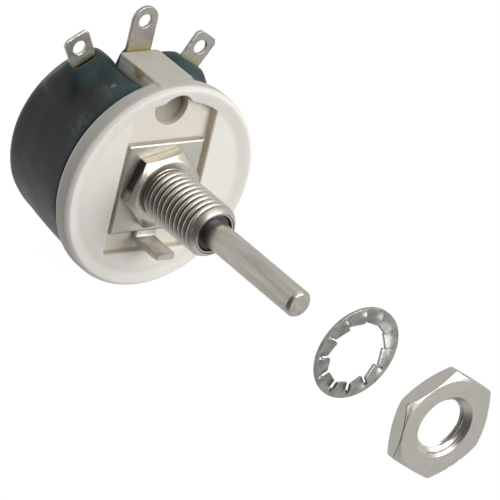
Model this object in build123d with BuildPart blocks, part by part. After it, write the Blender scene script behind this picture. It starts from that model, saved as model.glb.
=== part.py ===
from build123d import *
from math import cos, radians, sin, sqrt
import os

# A small power rheostat, in millimetres. The shaft lies along Y with its free end towards
# -Y, the centre terminal stands up along +Z, and the origin is on the shaft's axis in the
# plane where a panel seats: the front face of the bushing's hexagonal flange.

# Bushing
thread_radius = 3.175
bushing_reach = 9.5
bushing_end_chamfer = 0.55
flange_across_flats = 8.4
flange_thickness = 1.6
flange_turn = 19.0
flange_face_radius = 3.75
flange_chamfer = 0.5
spigot_radius = 2.6
staked_radius = 3.05
staked_height = 0.45
base_washer_radius = 3.55
mouth_radius = 2.35
mouth_depth = 1.1

# Shaft
shaft_radius = 1.5875
shaft_reach = 25.4
shaft_tail = 1.1
shaft_end_chamfer = 0.35
ring_groove_depth = 0.3
ring_thickness = 0.5
front_ring_radius = 2.2
rear_ring_radius = 2.15
ring_mouth_angle = 70.0

# Locating plate and its non-turn lug
plate_width = 10.2
plate_top = 5.3
plate_bottom = 5.65
plate_thickness = 0.8
lug_width = 2.65
lug_reach = 2.5
lug_offset = 6.65
lug_root = 0.2
lug_inner_bend = 0.12
lug_tip_round = 0.25

# Ceramic base
base_radius = 12.3
base_rear_radius = 11.85
base_floor = 1.3
rim_height = 0.5
rim_round = 1.0
rim_width = 1.9
rim_slope = 0.5
rim_foot_round = 0.4
rim_crest_round = 0.3
base_shoulder = 0.7
base_edge_round = 0.3
base_rear_round = 0.1
recess_depth = 1.05
recess_width = 11.2
recess_bottom = 7.95
recess_corner = 0.5
pocket_radius = 2.1
pocket_offset = 9.2
pocket_depth = 1.3
tongue_width = 5.2
tongue_top = 12.3
tongue_thickness = 2.0
tongue_reach = 6.3
tongue_root = 0.5
tongue_round = 0.5
stop_inner = 5.3
stop_outer = 6.8
stop_half_angle = 23.5
stop_height = 4.2

# Winding core and the wire on it
core_inner = 7.9
core_outer_front = 10.75
core_outer_rear = 9.6
core_front = 0.55
core_length = 11.65
core_round = 0.4
core_rear_round = 0.9
core_half_gap = 17.5
core_end_clearance = 0.3
wire_thickness = 0.35
winding_half_gap = 43.0
turn_count = 84
turn_groove_width = 0.14
turn_groove_depth = 0.12

# Enamel over the winding
enamel_inner = 7.15
enamel_front_radius = 11.85
enamel_rear_radius = 10.62
enamel_length = 12.45
enamel_round = 2.1
enamel_edge_round = 0.1
enamel_inner_round = 0.3
enamel_half_gap = 15.5
mound_reach = 12.9
mound_foot = 10.3
mound_foot_width = 9.0
mound_foot_length = 7.4
mound_foot_round = 1.5
mound_top_width = 3.8
mound_top_length = 2.2
mound_top_round = 0.5
lug_slot_start = 9.3
lug_slot_length = 6.0

# Terminals
terminal_thickness = 0.4
terminal_hole_radius = 0.825
end_terminal_angle = 30.0
end_terminal_width = 3.0
end_terminal_tip = 16.35
end_hole_offset = 14.7
left_lug_level = 11.0
right_lug_level = 8.7
centre_terminal_width = 3.3
centre_terminal_tip = 17.6
centre_hole_offset = 15.85
centre_foot = 8.3
centre_bend = 0.15

# Collector between the centre terminal and the rotor
slip_ring_inner = 3.9
slip_ring_outer = 5.0
slip_ring_thickness = 0.4
slip_tab_width = 2.6
slip_tab_top = 9.7
slip_rivet_offset = 5.9
slip_rivet_radius = 0.45
slip_rivet_head = 0.8
slip_rivet_angle = 120.0
slip_ear_radius = 1.0

# Rotor
hub_radius = 3.4
hub_nose_radius = 2.6
hub_nose_length = 0.75
hub_length = 10.3
stop_lug_reach = 6.5
stop_lug_half_angle = 5.5
stop_lug_thickness = 1.8
stop_lug_root = 0.5
hub_pin_radius = 0.4
hub_pin_level = 9.6
hub_pin_sink = 0.15
hub_pin_chamfer = 0.1
arm_thickness = 0.3
arm_width = 3.0
arm_plate_radius = 3.3
arm_bend = 3.8
arm_landing = 6.9
arm_tip = 9.7
arm_bend_round = 1.2
brush_width = 2.2
brush_length = 1.8
brush_height = 1.0
brush_corner = 0.2
brush_offset = 8.5
rivet_radius = 0.3
rivet_head_radius = 0.6
rivet_head_height = 0.25
rivet_head_round = 0.15
arm_rivet_offset = 2.85
arm_rivet_depth = 1.4
feed_thickness = 0.2
feed_strip_width = 1.6
feed_flat_radius = 3.95
feed_contact_radius = 4.5
thrust_thickness = 0.3
thrust_radius = 2.9
wave_thickness = 0.35
wave_radius = 2.5

# Loose mounting hardware
washer_outer = 10.7
washer_band = 1.0
washer_inner = 6.8
washer_thickness = 0.5
washer_teeth = 12
tooth_width = 1.15
tooth_twist = 16.0
tooth_root_overlap = 0.15
tooth_taper = 6.0
washer_stand_off = 35.6
nut_across_flats = 11.1
nut_thickness = 1.9
nut_chamfer_angle = 28.0
nut_stand_off = 50.2
nut_bore_chamfer = 0.35
nut_face_inset = 0.25

# Clearances
running_gap = 0.05
seat_gap = 0.05
contact_gap = 0.03
thread_gap = 0.06
stack_gap = 0.02
ring_gap = 0.1

# Levels along the axis, which follow from the sizes above
plate_front = flange_thickness
floor_level = plate_front + plate_thickness
face_level = floor_level - recess_depth
rim_level = face_level - rim_height
rear_level = floor_level + base_floor
core_level = rear_level + core_front
core_rear = core_level + core_length
track_level = core_rear + wire_thickness
enamel_rear = rear_level + enamel_length
tongue_rear = rear_level + tongue_reach
slip_level = rear_level + slip_ring_thickness
spigot_rear = slip_level + staked_height
thrust_level = spigot_rear + stack_gap
wave_level = thrust_level + thrust_thickness + stack_gap
hub_front = wave_level + wave_thickness + stack_gap
hub_shoulder = hub_front + hub_nose_length
hub_rear = hub_front + hub_length
arm_level = hub_rear + arm_thickness
brush_front = track_level + contact_gap
brush_rear = brush_front + brush_height
shaft_rear = arm_level + shaft_tail
mouth_level = mouth_depth - bushing_reach
bushing_bore = shaft_radius + running_gap
far = 60.0
trim_margin = 0.1
full_turn = 360.0


def at_level(level):
    """Plane across the shaft at a level: X to the right, Z up, normal towards the front."""
    return Plane.XZ.offset(-level)


def polar(radius, angle):
    """Point at an angle from the top, counted towards +X."""
    return (radius * sin(radians(angle)), radius * cos(radians(angle)))


def turned(radius, angle):
    """Place on a radius, with its own Y pointing outwards."""
    return Location((*polar(radius, angle), 0), (0, 0, -angle))


def ring_sector(level, inner, outer, middle, half_angle):
    """Sector of a flat ring, drawn at a level."""
    start = middle - half_angle
    end = middle + half_angle
    with BuildSketch(at_level(level)) as sector:
        with BuildLine():
            ThreePointArc(polar(inner, start), polar(inner, middle), polar(inner, end))
            Line(polar(inner, end), polar(outer, end))
            ThreePointArc(polar(outer, end), polar(outer, middle), polar(outer, start))
            Line(polar(outer, start), polar(inner, start))
        make_face()
    return sector.sketch


def gap_wedge(half_angle):
    """Wedge from the axis, which opens a ring at the top."""
    side = polar(far, half_angle)
    with BuildSketch(Plane.XZ) as wedge:
        with BuildLine():
            Polyline((0, 0), side, (-side[0], side[1]), close=True)
        make_face()
    return wedge.sketch


def core_section(growth):
    """Section of the core, grown by the thickness of what lies on it."""
    corner = core_round + growth
    with BuildSketch(Plane.XY) as section:
        with BuildLine():
            FilletPolyline(
                (core_inner - growth, core_level - growth),
                (core_outer_front + growth, core_level - growth),
                (core_outer_rear + growth, core_rear + growth),
                (core_inner - growth, core_rear + growth),
                radius=[corner, corner, core_rear_round + growth, corner],
                close=True,
            )
        make_face()
    return section.sketch


def retaining_ring(front, outer):
    """Split ring that sits in a groove of the shaft, its mouth downwards."""
    with BuildPart() as ring:
        with BuildSketch(at_level(front)):
            Circle(outer)
            Circle(shaft_radius - ring_groove_depth + seat_gap, mode=Mode.SUBTRACT)
        extrude(amount=-ring_thickness)
        mouth = ring_sector(front, outer / 4, 2 * outer, 180, ring_mouth_angle / 2)
        extrude(mouth, amount=-ring_thickness, mode=Mode.SUBTRACT)
    return ring.part


def rivet(place, head_level, grip, radius, head_radius):
    """Rivet along the axis, its domed head at the rear of what it holds."""
    with BuildPart() as pin:
        with BuildSketch(at_level(head_level)):
            with Locations(place):
                Circle(radius)
        extrude(amount=grip)
        with BuildSketch(at_level(head_level)):
            with Locations(place):
                Circle(head_radius)
        extrude(amount=-rivet_head_height)
        fillet(pin.edges().filter_by(GeomType.CIRCLE).sort_by(Axis.Y)[-1], rivet_head_round)
    return pin.part


# Bushing: one turned piece with the hexagonal flange, and a spigot that is staked over
# behind the ceramic. The thread is left plain at its major diameter.
flange_corner = flange_across_flats / sqrt(3)
with BuildPart() as bushing:
    with BuildSketch(at_level(0)):
        RegularPolygon(flange_across_flats / 2, 6, major_radius=False, rotation=30 - flange_turn)
    extrude(amount=-flange_thickness)
    with BuildSketch(Plane.XY):
        with BuildLine():
            Polyline(
                (0, 0),
                (flange_face_radius, 0),
                (flange_corner + trim_margin, flange_chamfer),
                (flange_corner + trim_margin, flange_thickness),
                (0, flange_thickness),
                close=True,
            )
        make_face()
    revolve(axis=Axis.Y, mode=Mode.INTERSECT)
    with BuildSketch(Plane.XY):
        with BuildLine():
            Polyline(
                (0, -bushing_reach),
                (thread_radius - bushing_end_chamfer, -bushing_reach),
                (thread_radius, -bushing_reach + bushing_end_chamfer),
                (thread_radius, 0),
                (spigot_radius, flange_thickness),
                (spigot_radius, slip_level),
                (staked_radius, slip_level),
                (staked_radius, spigot_rear),
                (0, spigot_rear),
                close=True,
            )
        make_face()
    revolve(axis=Axis.Y)
    with BuildSketch(at_level(-bushing_reach)):
        Circle(bushing_bore)
    extrude(amount=-(bushing_reach + spigot_rear), mode=Mode.SUBTRACT)
    with BuildSketch(at_level(-bushing_reach)):
        Circle(mouth_radius)
    extrude(amount=-mouth_depth, mode=Mode.SUBTRACT)
bushing.part.label = "bushing"

# Base washer: the spigot is staked against it, so that it spreads the load on the ceramic
with BuildPart() as base_washer:
    with BuildSketch(at_level(rear_level)):
        Circle(base_washer_radius)
        Circle(spigot_radius + seat_gap, mode=Mode.SUBTRACT)
    extrude(amount=-(slip_ring_thickness - stack_gap))
base_washer.part.label = "base_washer"

# Locating plate: square sheet under the flange, its tab folded forward as a non-turn lug
lug_inner = lug_offset - plate_thickness / 2
lug_outer = lug_offset + plate_thickness / 2
with BuildPart() as locating_plate:
    with BuildSketch(at_level(plate_front)):
        with Locations((0, (plate_top - plate_bottom) / 2)):
            Rectangle(plate_width, plate_top + plate_bottom)
    extrude(amount=-plate_thickness)
    with BuildSketch(Plane.YZ):
        with BuildLine():
            FilletPolyline(
                (plate_front, lug_root - plate_bottom),
                (plate_front, -lug_inner),
                (-lug_reach, -lug_inner),
                (-lug_reach, -lug_outer),
                (floor_level, -lug_outer),
                (floor_level, lug_root - plate_bottom),
                radius=[lug_inner_bend, lug_tip_round, lug_tip_round, plate_thickness],
            )
            Line((floor_level, lug_root - plate_bottom), (plate_front, lug_root - plate_bottom))
        make_face()
    extrude(amount=lug_width / 2, both=True)
    with BuildSketch(at_level(plate_front)):
        Circle(spigot_radius + seat_gap)
    extrude(amount=-plate_thickness, mode=Mode.SUBTRACT)
locating_plate.part.label = "locating_plate"

# Ceramic base: pressed disc with a rounded rim, a recess for the plate, a blind pocket,
# the tongue that carries the centre terminal, and the block that stops the rotor
rim_inner = base_radius - rim_width
rivet_places = [polar(slip_rivet_offset, a) for a in (-slip_rivet_angle, slip_rivet_angle)]
with BuildPart() as ceramic_base:
    with BuildSketch(Plane.XY):
        with BuildLine():
            FilletPolyline(
                (0, face_level),
                (rim_inner, face_level),
                (rim_inner + rim_slope, rim_level),
                (base_radius, rim_level),
                (base_radius, rear_level - base_shoulder),
                (base_rear_radius, rear_level),
                (0, rear_level),
                radius=[rim_foot_round, rim_crest_round, rim_round, base_edge_round, base_rear_round],
            )
            Line((0, rear_level), (0, face_level))
        make_face()
    revolve(axis=Axis.Y)
    with BuildSketch(at_level(rear_level - tongue_root)):
        with Locations((0, tongue_top - tongue_thickness / 2)):
            Rectangle(tongue_width, tongue_thickness)
    extrude(amount=-(tongue_reach + tongue_root))
    fillet(ceramic_base.edges().filter_by(Axis.Z).group_by(Axis.Y)[-1], tongue_round)
    stop_block = ring_sector(rear_level, stop_inner, stop_outer, 0, stop_half_angle)
    extrude(stop_block, amount=-stop_height)
    with BuildSketch(at_level(floor_level)):
        with Locations((0, (far - recess_bottom) / 2)):
            RectangleRounded(recess_width, far + recess_bottom, recess_corner)
        Circle(rim_inner, mode=Mode.INTERSECT)
    extrude(amount=recess_depth + rim_height, mode=Mode.SUBTRACT)
    with BuildSketch(at_level(face_level + pocket_depth)):
        with Locations((0, pocket_offset)):
            Circle(pocket_radius)
    extrude(amount=pocket_depth + rim_height, mode=Mode.SUBTRACT)
    with BuildSketch(at_level(rear_level)):
        Circle(spigot_radius + seat_gap)
        with Locations(*rivet_places):
            Circle(slip_rivet_radius + seat_gap)
    extrude(amount=rear_level - rim_level, mode=Mode.SUBTRACT)
    with BuildSketch(at_level(rear_level)):
        with Locations((0, (stop_inner + stop_outer) / 2)):
            Rectangle(slip_tab_width + 2 * seat_gap, 2 * (stop_outer - stop_inner))
    extrude(amount=-(slip_ring_thickness + seat_gap), mode=Mode.SUBTRACT)
ceramic_base.part.label = "ceramic_base"

# Winding core: the ceramic C that the wire is wound on, thinner towards the rear
with BuildPart() as winding_core:
    revolve(core_section(0), axis=Axis.Y)
    extrude(gap_wedge(core_half_gap), amount=far, both=True, mode=Mode.SUBTRACT)
winding_core.part.label = "winding_core"

# Resistance winding: one layer of wire round the core's section, with a groove between
# turns where the brush runs on them
turn_step = (full_turn - 2 * winding_half_gap) / turn_count
groove_angles = [winding_half_gap + turn_step * (i + 1) for i in range(turn_count - 1)]
track_middle = (core_inner + core_outer_rear) / 2
with BuildPart() as resistance_winding:
    revolve(core_section(wire_thickness), axis=Axis.Y)
    revolve(core_section(seat_gap), axis=Axis.Y, mode=Mode.SUBTRACT)
    extrude(gap_wedge(winding_half_gap), amount=far, both=True, mode=Mode.SUBTRACT)
    with BuildSketch(at_level(track_level)):
        with Locations([turned(track_middle, angle) for angle in groove_angles]):
            Rectangle(turn_groove_width, core_outer_rear - core_inner)
    extrude(amount=turn_groove_depth, mode=Mode.SUBTRACT)
resistance_winding.part.label = "resistance_winding"


def end_terminal(lug_angle, lug_level):
    """Strip bent round the core's section, its free end folded outwards as a lug."""
    with BuildPart() as strip:
        revolve(core_section(wire_thickness), axis=Axis.Y)
        revolve(core_section(seat_gap), axis=Axis.Y, mode=Mode.SUBTRACT)
        with BuildSketch(at_level(0)):
            with Locations(turned(end_terminal_tip / 2, lug_angle)):
                Rectangle(end_terminal_width, end_terminal_tip)
        extrude(amount=-far, mode=Mode.INTERSECT)
        slope = (core_outer_front - core_outer_rear) / core_length
        lug_root = core_outer_rear + slope * (core_rear - lug_level) + wire_thickness / 2
        with BuildSketch(at_level(lug_level)):
            with Locations(turned((lug_root + end_terminal_tip) / 2, lug_angle)):
                Rectangle(end_terminal_width, end_terminal_tip - lug_root)
            Circle(end_terminal_tip, mode=Mode.INTERSECT)
            with Locations(turned(end_hole_offset, lug_angle)):
                Circle(terminal_hole_radius, mode=Mode.SUBTRACT)
        extrude(amount=-terminal_thickness)
    return strip.part


left_end_terminal = end_terminal(-end_terminal_angle, left_lug_level)
left_end_terminal.label = "left_end_terminal"
right_end_terminal = end_terminal(end_terminal_angle, right_lug_level)
right_end_terminal.label = "right_end_terminal"

# Enamel: the fired glass coat over winding, core ends and terminal roots. It leaves the
# rear face bare for the brush, and rises in a mound round each lug.
with BuildPart() as coated_section:
    revolve(core_section(wire_thickness + seat_gap), axis=Axis.Y)
    extrude(gap_wedge(core_half_gap - core_end_clearance), amount=far, both=True, mode=Mode.SUBTRACT)

with BuildPart() as enamel_coating:
    with BuildSketch(Plane.XY):
        with BuildLine():
            FilletPolyline(
                (enamel_inner, rear_level),
                (enamel_front_radius, rear_level),
                (enamel_rear_radius, enamel_rear),
                (enamel_inner, enamel_rear),
                radius=[enamel_edge_round, enamel_edge_round, enamel_round, enamel_inner_round],
                close=True,
            )
        make_face()
    revolve(axis=Axis.Y)
    for lug_angle, lug_level in (
        (-end_terminal_angle, left_lug_level),
        (end_terminal_angle, right_lug_level),
    ):
        foot = polar(mound_foot, lug_angle)
        mound = Plane(
            origin=(foot[0], lug_level + terminal_thickness / 2, foot[1]),
            x_dir=(0, 1, 0),
            z_dir=(foot[0], 0, foot[1]),
        )
        with BuildSketch(mound):
            RectangleRounded(mound_foot_length, mound_foot_width, mound_foot_round)
        with BuildSketch(mound.offset(mound_reach - mound_foot)):
            RectangleRounded(mound_top_length, mound_top_width, mound_top_round)
        loft()
        with BuildSketch(at_level(lug_level - seat_gap)):
            with Locations(turned(lug_slot_start + lug_slot_length / 2, lug_angle)):
                Rectangle(end_terminal_width + 2 * seat_gap, lug_slot_length)
        extrude(amount=-(terminal_thickness + 2 * seat_gap), mode=Mode.SUBTRACT)
    extrude(gap_wedge(enamel_half_gap), amount=far, both=True, mode=Mode.SUBTRACT)
    add(coated_section.part, mode=Mode.SUBTRACT)
enamel_coating.part.label = "enamel_coating"

# Slip ring: flat ring on the ceramic's rear face, with a tab that runs out under the stop
# block to the centre terminal, and two ears for its rivets
with BuildPart() as slip_ring:
    with BuildSketch(at_level(rear_level)):
        Circle(slip_ring_outer)
        with Locations((0, slip_tab_top / 2)):
            Rectangle(slip_tab_width, slip_tab_top)
        with Locations(*rivet_places):
            Circle(slip_ear_radius)
        Circle(slip_ring_inner, mode=Mode.SUBTRACT)
        with Locations(*rivet_places):
            Circle(slip_rivet_radius + seat_gap, mode=Mode.SUBTRACT)
    extrude(amount=-slip_ring_thickness)
slip_ring.part.label = "slip_ring"

slip_rivet_grip = slip_level - floor_level - seat_gap
slip_ring_rivets = Compound(
    label="slip_ring_rivets",
    children=[
        rivet(place, slip_level, slip_rivet_grip, slip_rivet_radius, slip_rivet_head)
        for place in rivet_places
    ],
)

# Centre terminal: strip that is soldered to the slip ring's tab, runs back under the
# tongue and stands up behind it
strip_half = terminal_thickness / 2
tongue_bottom = tongue_top - tongue_thickness
with BuildPart() as centre_terminal:
    with BuildSketch(Plane.YZ):
        with BuildLine():
            FilletPolyline(
                (slip_level + strip_half, centre_foot),
                (slip_level + strip_half, tongue_bottom - stack_gap - strip_half),
                (tongue_rear + stack_gap + strip_half, tongue_bottom - stack_gap - strip_half),
                (tongue_rear + stack_gap + strip_half, centre_terminal_tip),
                radius=strip_half + centre_bend,
            )
        trace(line_width=terminal_thickness)
    extrude(amount=centre_terminal_width / 2, both=True)
    with BuildSketch(at_level(0)):
        with Locations((0, centre_terminal_tip / 2)):
            Rectangle(centre_terminal_width, centre_terminal_tip)
        with Locations((0, centre_terminal_tip)):
            Rectangle(centre_terminal_width, centre_terminal_width, mode=Mode.SUBTRACT)
        with Locations((0, centre_terminal_tip - centre_terminal_width / 2)):
            Circle(centre_terminal_width / 2)
        with Locations((0, centre_hole_offset)):
            Circle(terminal_hole_radius, mode=Mode.SUBTRACT)
    extrude(amount=-far, mode=Mode.INTERSECT)
centre_terminal.part.label = "centre_terminal"

# Shaft: plain rod through the bushing and the hub, with a groove for each retaining ring
groove_radius = shaft_radius - ring_groove_depth
with BuildPart() as shaft:
    with BuildSketch(Plane.XY):
        with BuildLine():
            Polyline(
                (0, -shaft_reach),
                (shaft_radius - shaft_end_chamfer, -shaft_reach),
                (shaft_radius, -shaft_reach + shaft_end_chamfer),
                (shaft_radius, mouth_level - ring_thickness - 2 * stack_gap),
                (groove_radius, mouth_level - ring_thickness - 2 * stack_gap),
                (groove_radius, mouth_level),
                (shaft_radius, mouth_level),
                (shaft_radius, arm_level),
                (groove_radius, arm_level),
                (groove_radius, arm_level + ring_thickness + 2 * stack_gap),
                (shaft_radius, arm_level + ring_thickness + 2 * stack_gap),
                (shaft_radius, shaft_rear),
                (0, shaft_rear),
                close=True,
            )
        make_face()
    revolve(axis=Axis.Y)
    with BuildSketch(Plane.YZ):
        with Locations((hub_pin_level, 0)):
            Circle(hub_pin_radius + seat_gap)
    extrude(amount=far, both=True, mode=Mode.SUBTRACT)
shaft.part.label = "shaft"

front_retaining_ring = retaining_ring(mouth_level - ring_thickness - stack_gap, front_ring_radius)
front_retaining_ring.label = "front_retaining_ring"
rear_retaining_ring = retaining_ring(arm_level + stack_gap, rear_ring_radius)
rear_retaining_ring.label = "rear_retaining_ring"

# Thrust washer and wave spring, which take up the end play between bushing and hub
with BuildPart() as thrust_washer:
    with BuildSketch(at_level(thrust_level)):
        Circle(thrust_radius)
        Circle(shaft_radius + ring_gap, mode=Mode.SUBTRACT)
    extrude(amount=-thrust_thickness)
thrust_washer.part.label = "thrust_washer"

with BuildPart() as wave_spring:
    with BuildSketch(at_level(wave_level)):
        Circle(wave_radius)
        Circle(shaft_radius + ring_gap, mode=Mode.SUBTRACT)
    extrude(amount=-wave_thickness)
wave_spring.part.label = "wave_spring"

# Hub: moulded insulator pinned to the shaft, with the lug that meets the stop block
arm_rivet_places = [(0, arm_rivet_offset), (0, -arm_rivet_offset)]
with BuildPart() as hub:
    with BuildSketch(Plane.XY):
        with BuildLine():
            Polyline(
                (shaft_radius + seat_gap, hub_front),
                (hub_nose_radius, hub_front),
                (hub_nose_radius, hub_shoulder),
                (hub_radius, hub_shoulder),
                (hub_radius, hub_rear),
                (shaft_radius + seat_gap, hub_rear),
                close=True,
            )
        make_face()
    revolve(axis=Axis.Y)
    lug_inner_end = hub_radius - stop_lug_root
    stop_lug = ring_sector(hub_shoulder, lug_inner_end, stop_lug_reach, 180, stop_lug_half_angle)
    extrude(stop_lug, amount=-stop_lug_thickness)
    with BuildSketch(Plane.YZ):
        with Locations((hub_pin_level, 0)):
            Circle(hub_pin_radius + seat_gap)
    extrude(amount=far, both=True, mode=Mode.SUBTRACT)
    with BuildSketch(at_level(hub_rear)):
        with Locations(*arm_rivet_places):
            Circle(rivet_radius + seat_gap)
    extrude(amount=arm_rivet_depth + 2 * seat_gap, mode=Mode.SUBTRACT)
hub.part.label = "hub"

with BuildPart() as hub_pin:
    with BuildSketch(Plane.YZ):
        with Locations((hub_pin_level, 0)):
            Circle(hub_pin_radius)
    extrude(amount=hub_radius - hub_pin_sink, both=True)
    chamfer(hub_pin.edges().filter_by(GeomType.CIRCLE), hub_pin_chamfer)
hub_pin.part.label = "hub_pin"

# Contact arm: spring strip riveted to the hub's rear face, cranked back over the ring
with BuildPart() as contact_arm:
    with BuildSketch(Plane.YZ):
        with BuildLine():
            FilletPolyline(
                (hub_rear + arm_thickness / 2, -shaft_radius),
                (hub_rear + arm_thickness / 2, -arm_bend),
                (brush_rear + arm_thickness / 2, -arm_landing),
                (brush_rear + arm_thickness / 2, -arm_tip),
                radius=arm_bend_round,
            )
        trace(line_width=arm_thickness)
    extrude(amount=arm_width / 2, both=True)
    with BuildSketch(at_level(hub_rear)):
        Circle(arm_plate_radius)
    extrude(amount=-arm_thickness)
    with BuildSketch(at_level(0)):
        Circle(shaft_radius + seat_gap)
        with Locations(*arm_rivet_places, (0, -brush_offset)):
            Circle(rivet_radius + seat_gap)
    extrude(amount=-far, mode=Mode.SUBTRACT)
contact_arm.part.label = "contact_arm"

with BuildPart() as contact_brush:
    with BuildSketch(at_level(brush_front)):
        with Locations((0, -brush_offset)):
            RectangleRounded(brush_width, brush_length, brush_corner)
    extrude(amount=-brush_height)
    with BuildSketch(at_level(brush_rear)):
        with Locations((0, -brush_offset)):
            Circle(rivet_radius + seat_gap)
    extrude(amount=brush_height / 2, mode=Mode.SUBTRACT)
contact_brush.part.label = "contact_brush"

brush_rivet = rivet(
    (0, -brush_offset),
    brush_rear + arm_thickness,
    arm_thickness + brush_height / 2 - seat_gap,
    rivet_radius,
    rivet_head_radius,
)
brush_rivet.label = "brush_rivet"

# Feed spring: dished ring that runs on the slip ring, with a strip along the hub that is
# riveted down on the arm and carries its current
feed_rear = arm_level + feed_thickness
with BuildPart() as feed_spring:
    with BuildSketch(Plane.XY):
        with BuildLine():
            Polyline(
                (hub_nose_radius + seat_gap, hub_shoulder - feed_thickness),
                (feed_flat_radius - feed_thickness, hub_shoulder - feed_thickness),
                (feed_contact_radius - feed_thickness / 2, slip_level + contact_gap),
                (feed_contact_radius + feed_thickness / 2, slip_level + contact_gap),
                (feed_flat_radius, hub_shoulder),
                (hub_nose_radius + seat_gap, hub_shoulder),
                close=True,
            )
        make_face()
    revolve(axis=Axis.Y)
    with BuildSketch(Plane.YZ):
        with BuildLine():
            Polyline(
                (hub_shoulder - feed_thickness / 2, hub_radius + seat_gap + feed_thickness / 2),
                (arm_level + feed_thickness / 2, hub_radius + seat_gap + feed_thickness / 2),
                (arm_level + feed_thickness / 2, rear_ring_radius + ring_gap),
            )
        trace(line_width=feed_thickness)
    extrude(amount=feed_strip_width / 2, both=True)
    with BuildSketch(at_level(hub_rear)):
        with Locations(arm_rivet_places[0]):
            Circle(rivet_radius + seat_gap)
    extrude(amount=-far, mode=Mode.SUBTRACT)
feed_spring.part.label = "feed_spring"

rivet_end = hub_rear - arm_rivet_depth
arm_rivets = Compound(
    label="arm_rivets",
    children=[
        rivet(arm_rivet_places[0], feed_rear, feed_rear - rivet_end, rivet_radius, rivet_head_radius),
        rivet(arm_rivet_places[1], arm_level, arm_level - rivet_end, rivet_radius, rivet_head_radius),
    ],
)

# Lock washer: internal teeth, each twisted out of the ring's plane, taken off the bushing
tooth_root = washer_outer / 2 - washer_band
with BuildPart() as lock_washer:
    with BuildSketch(at_level(-washer_stand_off - washer_thickness / 2)):
        Circle(washer_outer / 2)
        Circle(tooth_root, mode=Mode.SUBTRACT)
    extrude(amount=-washer_thickness)
    for i in range(washer_teeth):
        x, z = polar(tooth_root + tooth_root_overlap, full_turn / washer_teeth * i)
        root = Plane(origin=(x, -washer_stand_off, z), x_dir=(0, 1, 0), z_dir=(x, 0, z))
        with BuildSketch(root):
            Rectangle(washer_thickness, tooth_width, rotation=tooth_twist)
        extrude(amount=-(tooth_root + tooth_root_overlap - washer_inner / 2), taper=tooth_taper)
lock_washer.part.label = "lock_washer"

# Mounting nut: thin hexagon, chamfered on both faces. Its bore is left plain, clear of
# the thread's major diameter.
nut_corner = nut_across_flats / sqrt(3)
nut_face_radius = nut_across_flats / 2 - nut_face_inset
nut_drop = (nut_corner - nut_face_radius) * sin(radians(nut_chamfer_angle))
with BuildPart() as mounting_nut:
    with BuildSketch(at_level(-nut_stand_off - nut_thickness / 2)):
        RegularPolygon(nut_across_flats / 2, 6, major_radius=False)
        Circle(thread_radius + thread_gap, mode=Mode.SUBTRACT)
    extrude(amount=-nut_thickness)
    chamfer(mounting_nut.edges().filter_by(GeomType.CIRCLE), nut_bore_chamfer)
    nut_front = -nut_stand_off - nut_thickness / 2
    nut_rear = -nut_stand_off + nut_thickness / 2
    with BuildSketch(Plane.XY):
        with BuildLine():
            Polyline(
                (0, nut_front),
                (nut_face_radius, nut_front),
                (nut_corner, nut_front + nut_drop),
                (nut_corner, nut_rear - nut_drop),
                (nut_face_radius, nut_rear),
                (0, nut_rear),
                close=True,
            )
        make_face()
    revolve(axis=Axis.Y, mode=Mode.INTERSECT)
mounting_nut.part.label = "mounting_nut"

os.makedirs("parts", exist_ok=True)
export_step(ceramic_base.part, "parts/ceramic_base.step")
export_step(winding_core.part, "parts/winding_core.step")
export_step(resistance_winding.part, "parts/resistance_winding.step")
export_step(enamel_coating.part, "parts/enamel_coating.step")
export_step(left_end_terminal, "parts/left_end_terminal.step")
export_step(right_end_terminal, "parts/right_end_terminal.step")
export_step(centre_terminal.part, "parts/centre_terminal.step")
export_step(slip_ring.part, "parts/slip_ring.step")
export_step(slip_ring_rivets, "parts/slip_ring_rivets.step")
export_step(bushing.part, "parts/bushing.step")
export_step(base_washer.part, "parts/base_washer.step")
export_step(locating_plate.part, "parts/locating_plate.step")
export_step(shaft.part, "parts/shaft.step")
export_step(front_retaining_ring, "parts/front_retaining_ring.step")
export_step(rear_retaining_ring, "parts/rear_retaining_ring.step")
export_step(thrust_washer.part, "parts/thrust_washer.step")
export_step(wave_spring.part, "parts/wave_spring.step")
export_step(hub.part, "parts/hub.step")
export_step(hub_pin.part, "parts/hub_pin.step")
export_step(contact_arm.part, "parts/contact_arm.step")
export_step(contact_brush.part, "parts/contact_brush.step")
export_step(brush_rivet, "parts/brush_rivet.step")
export_step(arm_rivets, "parts/arm_rivets.step")
export_step(feed_spring.part, "parts/feed_spring.step")
export_step(lock_washer.part, "parts/lock_washer.step")
export_step(mounting_nut.part, "parts/mounting_nut.step")
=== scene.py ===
from math import cos, pi, radians, sin, sqrt

import bmesh
import bpy
import numpy as np
from mathutils import Matrix, Vector, noise


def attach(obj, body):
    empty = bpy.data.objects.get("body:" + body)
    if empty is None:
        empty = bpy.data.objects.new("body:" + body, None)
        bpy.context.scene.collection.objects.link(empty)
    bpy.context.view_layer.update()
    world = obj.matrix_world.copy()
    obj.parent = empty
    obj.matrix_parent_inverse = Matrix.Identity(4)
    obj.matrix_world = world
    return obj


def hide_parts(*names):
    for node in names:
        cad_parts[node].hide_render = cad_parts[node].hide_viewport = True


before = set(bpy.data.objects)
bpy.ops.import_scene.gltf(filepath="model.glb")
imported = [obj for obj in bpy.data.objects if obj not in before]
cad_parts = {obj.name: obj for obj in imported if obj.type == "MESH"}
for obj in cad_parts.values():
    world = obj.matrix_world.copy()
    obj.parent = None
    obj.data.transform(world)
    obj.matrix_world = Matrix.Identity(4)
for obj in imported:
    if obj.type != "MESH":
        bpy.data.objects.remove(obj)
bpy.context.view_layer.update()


# Ceramic base: one pressed and fired disc that carries everything else. Its edges are soft
# from the die and its surface is unglazed. Painted shade darkens the valley inside the rim, the
# recess walls, the pocket and the disc's outer side; the specks and the yellow stain are real.
MM = 0.001


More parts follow.
